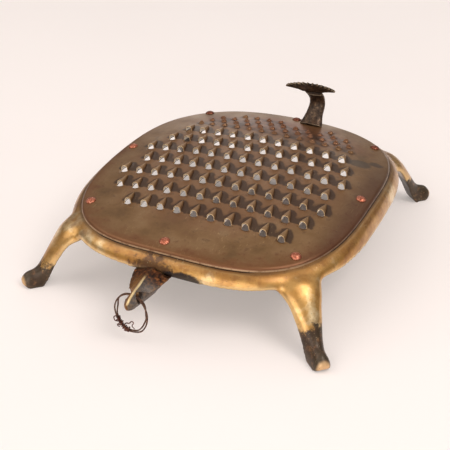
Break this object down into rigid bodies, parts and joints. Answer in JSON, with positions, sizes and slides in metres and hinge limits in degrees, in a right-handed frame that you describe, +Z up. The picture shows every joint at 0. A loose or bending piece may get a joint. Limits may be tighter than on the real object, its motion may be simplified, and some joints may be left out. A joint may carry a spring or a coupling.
{
  "type": "footed kitchen grater",
  "caption": "Antique footed brass grater with a domed toothed sheet, an iron coconut scraper at the back and a loose wire ring in the front lug.",
  "frame": {"origin": "on the floor, at the centre of the object's footprint box", "axes": "+Z up, +Y towards the scraper, -Y towards the lug with the ring, +X to the right seen from the lug"},
  "size_m": [0.2172, 0.2678, 0.0873],
  "materials": {
    "cast_brass": "worn satin cast brass with dark patina",
    "bronze_sheet": "brown patina on sheet metal",
    "copper_rivet": "worn copper",
    "forged_iron": "dark forged iron",
    "iron_wire": "rusty iron wire"
  },
  "bodies": {
    "grater": {"cast_frame": "cast_brass", "grater_plate": "bronze_sheet", "front_lug": "cast_brass", "scraper_neck": "forged_iron", "scraper_blade": "forged_iron", "leg_front_left": "cast_brass", "leg_front_right": "cast_brass", "leg_back_right": "cast_brass", "leg_back_left": "cast_brass", "rivet_front_left": "copper_rivet", "rivet_left": "copper_rivet", "rivet_back_left": "copper_rivet", "rivet_back": "copper_rivet", "rivet_back_right": "copper_rivet", "rivet_right": "copper_rivet", "rivet_front_right": "copper_rivet", "rivet_front": "copper_rivet"},
    "ring": {"ring_loop_front": "iron_wire", "ring_loop_back": "iron_wire", "ring_binding": "iron_wire"}
  },
  "joints": [
    {"name": "ring_swing", "type": "hinge", "parent": "grater", "child": "ring", "pos_m": [-0.007, -0.12386, 0.0344], "axis": [1, 0, 0], "range_deg": [-110, 35]}
  ]
}
